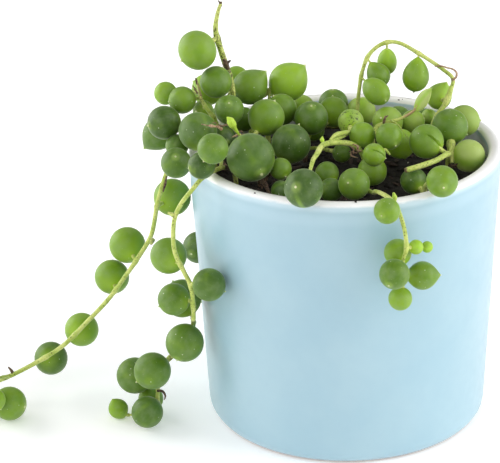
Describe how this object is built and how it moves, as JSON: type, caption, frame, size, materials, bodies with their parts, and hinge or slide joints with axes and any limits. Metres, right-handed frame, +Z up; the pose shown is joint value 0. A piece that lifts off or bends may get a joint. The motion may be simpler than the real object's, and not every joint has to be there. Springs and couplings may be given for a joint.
{
  "type": "potted string of pearls",
  "caption": "Small glazed ceramic pot of soil with trailing stems of round, pointed succulent leaves that spill over the rim and down to the surface.",
  "frame": {"origin": "middle of the pot's flat foot, on the surface that the pot stands on", "axes": "+Z up along the pot's axis; -Y is the front, towards the viewer; +X is to the viewer's right, so the long trailer runs out towards -X"},
  "size_m": [0.1168, 0.0726, 0.0845],
  "materials": {
    "pot": "gloss",
    "soil": "matte",
    "plant": "satin"
  },
  "bodies": {
    "root": {"pot": "pot", "soil": "soil", "strand_crown": "plant", "strand_left_tuft": "plant", "strand_long_trailer": "plant", "strand_second_trailer": "plant", "strand_back_trailer": "plant", "strand_mid_left": "plant", "strand_front_left": "plant", "strand_front_loop": "plant", "strand_centre": "plant", "strand_right_trailer": "plant", "strand_arch": "plant", "strand_new_leaf": "plant", "strand_right_rim": "plant", "strand_front_right": "plant", "strand_back_right": "plant", "strand_back_creeper": "plant"}
  },
  "joints": []
}
